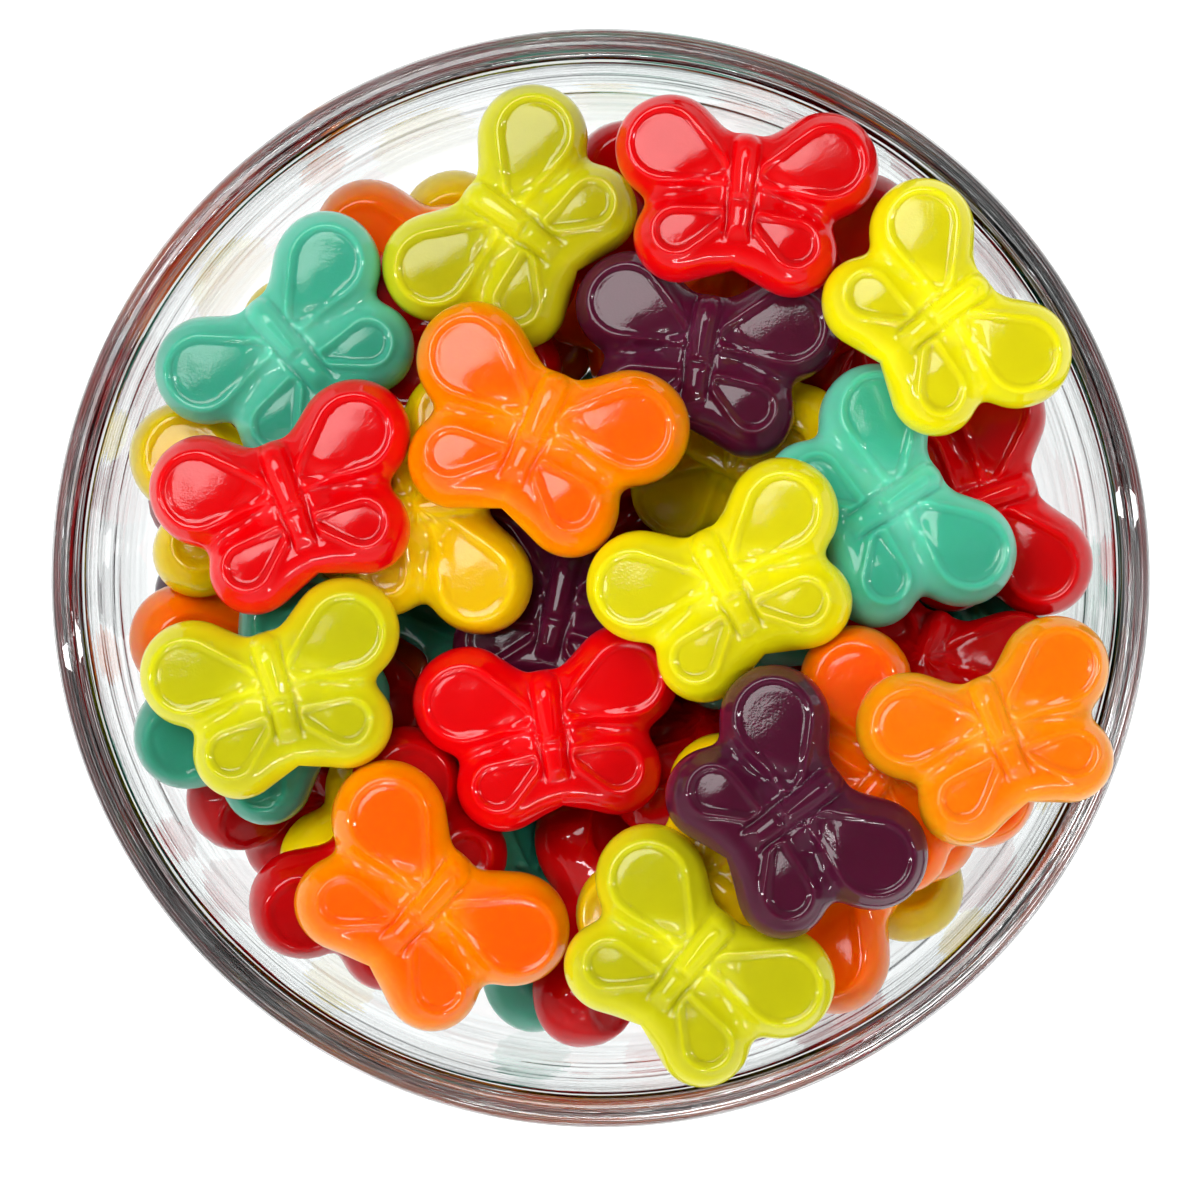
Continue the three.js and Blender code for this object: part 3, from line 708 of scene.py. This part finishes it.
TONES = {"From Min": 0.4, "From Max": 1.6, "To Min": 0.88, "To Max": 1.12}  # clouds and tone added up
JELLY_SETTINGS = {
    "IOR": 1.4,
    "Specular IOR Level": 0.02,
    "Subsurface Weight": 1.0,
    "Subsurface Scale": SCATTER_DEPTH,
    "Coat Weight": 0.7,
    "Coat IOR": 1.47,
}


def fruit_jelly(name, jelly):
    material = bpy.data.materials.new(f"{name}_fruit_jelly_starch_moulded")
    material.use_nodes = True
    tree = material.node_tree
    tree.nodes.clear()
    place = add(tree, "ShaderNodeTexCoord").outputs["Object"]
    told = ("thin_edge", "starch_grain", "cover", "tone")
    thin, grainy, cover, tone = (
        add(tree, "ShaderNodeAttribute", attribute_name=label).outputs["Fac"] for label in told
    )
    body, edge, deep = linear(jelly.body), linear(jelly.edge), linear(jelly.deep)
    # painted glow: towards the thin outer edge the colour turns to the brighter edge colour, as if light
    # shone through
    lit = add(tree, "ShaderNodeMix", {6: body, 7: edge}, {0: thin}, data_type="RGBA")
    # painted shade: a butterfly under others takes the darker shade colour, as much as its cover says
    shaded = add(tree, "ShaderNodeMix", {7: deep}, {0: cover, 6: lit.outputs[2]}, data_type="RGBA")
    clouds = add(tree, "ShaderNodeTexNoise", {"Scale": 1 / CLOUD_WIDTH, "Detail": 3.0}, {"Vector": place})
    mixed = add(tree, "ShaderNodeMath", {}, {0: clouds.outputs["Fac"], 1: tone}, operation="ADD")
    value = add(tree, "ShaderNodeMapRange", TONES, {"Value": mixed.outputs[0]}).outputs[0]
    colour = add(tree, "ShaderNodeHueSaturation", {}, {"Color": shaded.outputs[2], "Value": value})
    grain = add(tree, "ShaderNodeTexNoise", {"Scale": 1 / STARCH_GRAIN, "Detail": 1.0}, {"Vector": place})
    starch = add(tree, "ShaderNodeMath", {}, {0: grain.outputs["Fac"], 1: grainy}, operation="MULTIPLY")
    fine = bump_node(tree, GRAIN_HEIGHT, {"Height": starch.outputs[0]})
    waves = add(tree, "ShaderNodeTexNoise", {"Scale": 1 / WAVE_WIDTH, "Detail": 1.0}, {"Vector": place})
    skin_bump = bump_node(tree, WAVE_HEIGHT, {"Height": waves.outputs["Fac"], "Normal": fine.outputs[0]})
    rough = add(tree, "ShaderNodeMapRange", ROUGHNESS, {"Value": grainy})
    oil = add(tree, "ShaderNodeMapRange", OIL_ROUGHNESS, {"Value": grainy})
    shader = add(
        tree,
        "ShaderNodeBsdfPrincipled",
        {**JELLY_SETTINGS, "Subsurface Radius": jelly.glow},
        {
            "Base Color": colour.outputs[0],
            "Roughness": rough.outputs[0],
            "Coat Roughness": oil.outputs[0],
            "Normal": skin_bump.outputs[0],
            "Coat Normal": skin_bump.outputs[0],
        },
        subsurface_method="RANDOM_WALK",
    )
    add(tree, "ShaderNodeOutputMaterial", {}, {"Surface": shader.outputs[0]})
    return material


jellies = {name: fruit_jelly(name, jelly) for name, jelly in JELLIES.items()}
print(len(jellies), "jellies, each of", len(jellies["red"].node_tree.nodes), "nodes")

# %% [markdown]
# All the butterflies of one colour become one piece. The evaluated object gives the finished
# mesh, and the modifier goes once it has done its work.

# %% One piece for each colour
UNEVENNESS = 0.6 * MM
LUMP_WIDTH = 14.0 * MM
# how much of the painted shade colour each level gets: none on top, more under others, most for the hidden
# ones
COVER_BY_LEVEL = (0.0, 0.45, 0.8)
COVER_AT_THE_BOTTOM = 0.15  # the table's light reaches these through the foot
BOTTOM_OF_HEAP = 17.0


def cover_of(pose):
    return COVER_AT_THE_BOTTOM if pose.centre[2] < BOTTOM_OF_HEAP else COVER_BY_LEVEL[pose.level]


def place_points(colour, laid):
    points = mesh_object(f"{colour}_places", [pose.centre * MM for pose in laid], [])
    turns = np.array([Matrix(pose.turn.tolist()).to_quaternion()[:] for pose in laid])
    told = (
        ("turn", "QUATERNION", turns.ravel()),
        ("size", "FLOAT", [pose.size for pose in laid]),
        ("level", "INT", [pose.level for pose in laid]),
        ("cover", "FLOAT", [cover_of(pose) for pose in laid]),
        ("tone", "FLOAT", rng.uniform(0, 1, len(laid))),
    )
    for name, kind, values in told:
        points.data.attributes.new(name, kind, "POINT").data.foreach_set("value", values)
    return points


def butterflies_of(colour):
    laid = [pose for pose in poses if pose.colour == colour]
    piece = place_points(colour, laid)
    modifier = piece.modifiers.new("Lay out", "NODES")
    modifier.node_group = lay_out
    given = {detail.name: master for detail, master in zip(DETAILS, masters)}
    given.update({"Jelly": jellies[colour], "Unevenness": UNEVENNESS, "Lump width": LUMP_WIDTH})
    for socket in lay_out.interface.items_tree:
        if socket.name in given:
            modifier[socket.identifier] = given[socket.name]
    evaluated = piece.evaluated_get(bpy.context.evaluated_depsgraph_get())
    mesh = bpy.data.meshes.new_from_object(evaluated)
    bpy.data.objects.remove(piece)
    made = bpy.data.objects.new(f"{colour}_butterflies", mesh)
    bpy.context.scene.collection.objects.link(made)
    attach(made, "root")
    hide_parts(*[node.name for node in gummy_nodes if node.name.endswith(colour)])
    return made


pieces = [butterflies_of(colour) for colour in COLOURS]
for master in masters:
    bpy.data.objects.remove(master)
for piece in pieces:
    piece.data.calc_loop_triangles()
print({piece.name: len(piece.data.loop_triangles) for piece in pieces}, "triangles")

# %% [markdown]
# ## The core of the heap
#
# All that shows of the middle of the heap is some dark red between the lowest butterflies, seen
# through the glass, so one lump of the same jelly stands for it, uneven as pressed sweets are.

# %% The core
CORE_RINGS, CORE_SIDES = 14, 64
CORE_SQUARENESS = 0.6  # 1 is a ball, and less is nearer to a drum
CORE_LUMP = 1.5
CORE_BASE = FLOOR_OF_HEAP + 0.7
FLAT_BASE, LUMP_GROWTH = 2, 8  # mm over the base that stay flat, and over which the lumps grow


def core_points():
    angles = np.linspace(0, 2 * math.pi, CORE_SIDES, endpoint=False)
    points = [(0, 0, CORE_TOP)]
    for turn in np.linspace(0, math.pi, CORE_RINGS + 2)[1:-1]:
        radius = CORE_RADIUS * np.sin(turn) ** CORE_SQUARENESS
        height = (CORE_TOP + CORE_BASE) / 2 + (CORE_TOP - CORE_BASE) / 2 * math.cos(turn)
        x, y = radius * np.cos(angles), radius * np.sin(angles)
        lumps = CORE_LUMP * (np.sin(0.31 * x + 1) * np.cos(0.27 * y) + np.sin(0.23 * (x - y)))
        raised = height + lumps * (height - CORE_BASE) / LUMP_GROWTH
        z = np.where(height > CORE_BASE + FLAT_BASE, raised, height)
        points.extend(zip(x, y, z))
    return np.array([*points, (0, 0, CORE_BASE)])


core = mesh_object("heap_core", core_points() * MM, shell_faces(CORE_SIDES, CORE_RINGS))
core.data.materials.append(jellies["red"])
# the core is painted wholly in the red jelly's shade colour
attribute = core.data.attributes.new("cover", "FLOAT", "POINT")
attribute.data.foreach_set("value", [1.0] * len(core.data.vertices))
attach(core, "root")
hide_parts("heap")
print("core", [round(v / MM) for v in core.dimensions], "mm")

# %% [markdown]
# ## The glass bowl
#
# The bowl was pressed from clear soda-lime glass and fire-polished: thick at the foot, a little
# thinner at the rim, and round all over. Turning a profile about the axis gives it. The profile
# is the curve of the fixed model with many more steps, so that the rim bends light smoothly into
# fine lines. It is closed, because glass bends light only where its wall has two faces.

# %% The bowl
BOWL_SIDES = 240
CURVE_STEPS, RIM_STEPS = 36, 20


def bowl_profile():
    ring_inside = FOOT_RADIUS - FOOT_ROUNDING - FOOT_RING_WIDTH
    foot = [(ring_inside - FOOT_RECESS, FOOT_RECESS), (ring_inside - 0.4, 0.5), (ring_inside + 0.6, 0)]
    foot += [(FOOT_RADIUS - FOOT_ROUNDING, 0), (FOOT_RADIUS - 0.5, 0.45)]
    turns = np.linspace(0, math.pi, RIM_STEPS + 1)[1:-1]
    middle = RIM_RADIUS - RIM_HALF
    rim = np.column_stack([middle + RIM_HALF * np.cos(turns), RIM_BASE + RIM_HALF * np.sin(turns)])
    return np.vstack([foot, bezier(OUTER_CURVE, CURVE_STEPS), rim, bezier(INNER_CURVE, CURVE_STEPS)])


def turned(name, profile, low, high):
    """A closed solid of revolution, from a point under the base to one on the floor inside."""
    angles = np.linspace(0, 2 * math.pi, BOWL_SIDES, endpoint=False)
    points = [(0, 0, low)]
    for radius, height in profile:
        points.extend((radius * math.cos(a), radius * math.sin(a), height) for a in angles)
    faces = [face[::-1] for face in shell_faces(BOWL_SIDES, len(profile))]
    return mesh_object(name, np.array([*points, (0, 0, high)]) * MM, faces)


bowl = turned("glass_bowl", bowl_profile(), FOOT_RECESS, FLOOR_THICKNESS)
print("bowl", [round(v / MM, 1) for v in bowl.dimensions], "mm,", len(bowl.data.polygons), "faces")

# %% [markdown]
# Clear glass has no colour of its own at this thickness, only a breath of blue-green, so the
# shader lets nearly all light through, bends it by the index of soda-lime glass and keeps a
# polished face. Broad ripples and rings drawn out round the bowl are left from the pressing.

# %% Clear soda-lime glass, pressed and fire-polished
GLASS_TINT = "f5f9f9"
RIPPLE_LENGTH = 18 * MM
RIPPLE_HEIGHT = 0.08 * MM
RING_LENGTH = 45 * MM
RING_FLATNESS = 14.0  # how many times longer a ring mark is than it is high
RING_HEIGHT = 0.1 * MM


def clear_glass():
    material = bpy.data.materials.new("clear_soda_lime_glass_fire_polished")
    material.use_nodes = True
    tree = material.node_tree
    tree.nodes.clear()
    place = add(tree, "ShaderNodeTexCoord").outputs["Object"]
    ripple = add(tree, "ShaderNodeTexNoise", {"Scale": 1 / RIPPLE_LENGTH, "Detail": 1.0}, {"Vector": place})
    rippled = bump_node(tree, RIPPLE_HEIGHT, {"Height": ripple.outputs["Fac"]})
    stretch = {1: (1.0, 1.0, RING_FLATNESS)}
    flat = add(tree, "ShaderNodeVectorMath", stretch, {0: place}, operation="MULTIPLY").outputs[0]
    rings = add(tree, "ShaderNodeTexNoise", {"Scale": 1 / RING_LENGTH, "Detail": 1.0}, {"Vector": flat})
    bend = bump_node(tree, RING_HEIGHT, {"Height": rings.outputs["Fac"], "Normal": rippled.outputs[0]})
    shader = add(
        tree,
        "ShaderNodeBsdfPrincipled",
        {"Base Color": linear(GLASS_TINT), "Roughness": 0.0, "IOR": 1.5, "Transmission Weight": 1.0},
        {"Normal": bend.outputs[0]},
    )
    add(tree, "ShaderNodeOutputMaterial", {}, {"Surface": shader.outputs[0]})
    return material


bowl.data.materials.append(clear_glass())
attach(bowl, "root")
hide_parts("bowl")
print("glass on", bowl.name)

# %% [markdown]
# ## Floor, light and camera
#
# The bowl stands on a white light table, which glows a little, so that the thick glass stays
# bright and no shadow shows. Soft light comes from all round, less from straight above and from
# the far side, which draws the darker lines of the rim. A broad lamp to the upper left gives the
# pale sheen on the panels, and three narrow ones draw thin white lines along the ridges. The
# camera looks straight down from a metre up.

# %% Floor
FLOOR_HALF, FLOOR_Z = 1.6, -0.0005
TABLE_EDGE, FAR_AWAY = 0.15, 0.45  # between these distances from the middle the glow fades
FLOOR_GLOW, FAR_GLOW = 0.9, 0.25  # beside the bowl, and at the end of the light table


def plain_floor():
    signs = ((-1, -1), (1, -1), (1, 1), (-1, 1))
    corners = [(i * FLOOR_HALF, j * FLOOR_HALF, FLOOR_Z) for i, j in signs]
    floor = mesh_object("floor", corners, [(0, 1, 2, 3)])
    material = bpy.data.materials.new("white_light_table_matt")
    material.use_nodes = True
    shader = material.node_tree.nodes["Principled BSDF"]
    shader.inputs["Base Color"].default_value = linear("a0a0a0")
    shader.inputs["Roughness"].default_value = 0.9
    shader.inputs["Specular IOR Level"].default_value = 0.1
    shader.inputs["Emission Color"].default_value = linear("ffffff")
    tree = material.node_tree
    place = add(tree, "ShaderNodeTexCoord").outputs["Object"]
    away = add(tree, "ShaderNodeVectorMath", {}, {0: place}, operation="LENGTH").outputs["Value"]
    fade = {"From Min": TABLE_EDGE, "From Max": FAR_AWAY, "To Min": FLOOR_GLOW, "To Max": FAR_GLOW}
    glow = add(tree, "ShaderNodeMapRange", fade, {"Value": away})
    tree.links.new(glow.outputs[0], shader.inputs["Emission Strength"])
    floor.data.materials.append(material)
    return floor


plain_floor()

# %% Light
SKY = ((0.0, 0.55), (0.2, 0.8), (0.6, 0.4), (0.95, 0.1))  # height of a direction, and its brightness
SKY_STRENGTH = 0.75
NEAR_SIDE, FAR_SIDE = 1.5, 0.5  # how bright the sky is before and behind the bowl, as a share
SIDES_FROM = 0.8  # how far to the near and far side a direction has to point for the full share


def studio_sky():
    world = bpy.data.worlds.new("studio_sky")
    bpy.context.scene.world = world
    world.use_nodes = True
    tree = world.node_tree
    tree.nodes.clear()
    direction = add(tree, "ShaderNodeTexCoord").outputs["Generated"]
    split = add(tree, "ShaderNodeSeparateXYZ", {}, {0: direction})
    ramp = add(tree, "ShaderNodeValToRGB", {}, {0: split.outputs["Z"]})
    elements = ramp.color_ramp.elements
    while len(elements) < len(SKY):
        elements.new(0.5)
    for element, (height, bright) in zip(elements, SKY):
        element.position = height
        element.color = (bright, bright, bright, 1)
    sides = {"From Min": -SIDES_FROM, "From Max": SIDES_FROM, "To Min": NEAR_SIDE, "To Max": FAR_SIDE}
    to_far = {"Value": split.outputs["Y"]}
    share = add(tree, "ShaderNodeMapRange", sides, to_far, interpolation_type="SMOOTHSTEP").outputs[0]
    dimmed = add(tree, "ShaderNodeVectorMath", {}, {0: ramp.outputs[0], "Scale": share}, operation="SCALE")
    sky = add(tree, "ShaderNodeBackground", {"Strength": SKY_STRENGTH}, {"Color": dimmed.outputs[0]})
    add(tree, "ShaderNodeOutputWorld", {}, {"Surface": sky.outputs[0]})


def soft_lamp(name, place, aim, width, height, watts):
    lamp = bpy.data.lights.new(name, "AREA")
    lamp.shape, lamp.size, lamp.size_y, lamp.energy = "RECTANGLE", width, height, watts
    made = bpy.data.objects.new(name, lamp)
    bpy.context.scene.collection.objects.link(made)
    made.location = place
    made.rotation_euler = (Vector(aim) - Vector(place)).to_track_quat("-Z", "Y").to_euler()
    return made


studio_sky()
AIM = (0, 0, 0.05)
LAMPS = (
    soft_lamp("main_soft_lamp", (-0.28, 0.36, 1.15), AIM, 0.75, 0.58, 11),
    soft_lamp("right_strip_lamp", (0.75, 0.1, 0.8), AIM, 0.04, 0.6, 2.6),
    soft_lamp("left_strip_lamp", (-0.7, -0.1, 0.6), AIM, 0.035, 0.6, 2.1),
    soft_lamp("near_strip_lamp", (0.1, -0.7, 0.55), AIM, 0.6, 0.035, 2.1),
)
print(len(LAMPS), "lamps and a sky")

# %% [markdown]
# Light that enters the rim is thrown to and fro between the two faces of the wall many times
# before it gets out, so it has to be followed further than usual.

# %% How far light is followed
GLASS_BOUNCES = 7
paths = bpy.context.scene.cycles
paths.max_bounces = paths.transmission_bounces = paths.glossy_bounces = GLASS_BOUNCES
print("light is followed through", paths.glossy_bounces, "faces of glass")

# %% Camera
CAMERA_HEIGHT = 1.0
CAMERA_SHIFT = (-0.00007, -0.003)  # centres the bowl in the picture
SENSOR = 36.0
FRAME_HALF = 0.0817  # half the width that the picture takes in at the height of the rim
camera = bpy.data.objects.new("camera", bpy.data.cameras.new("camera"))
bpy.context.scene.collection.objects.link(camera)
camera.data.sensor_width = SENSOR
camera.data.lens = SENSOR / 2 * (CAMERA_HEIGHT - BOWL_HEIGHT * MM) / FRAME_HALF
camera.location = (*CAMERA_SHIFT, CAMERA_HEIGHT)
bpy.context.scene.camera = camera
bpy.context.scene.view_settings.view_transform = "Standard"
print("lens", round(camera.data.lens), "mm")
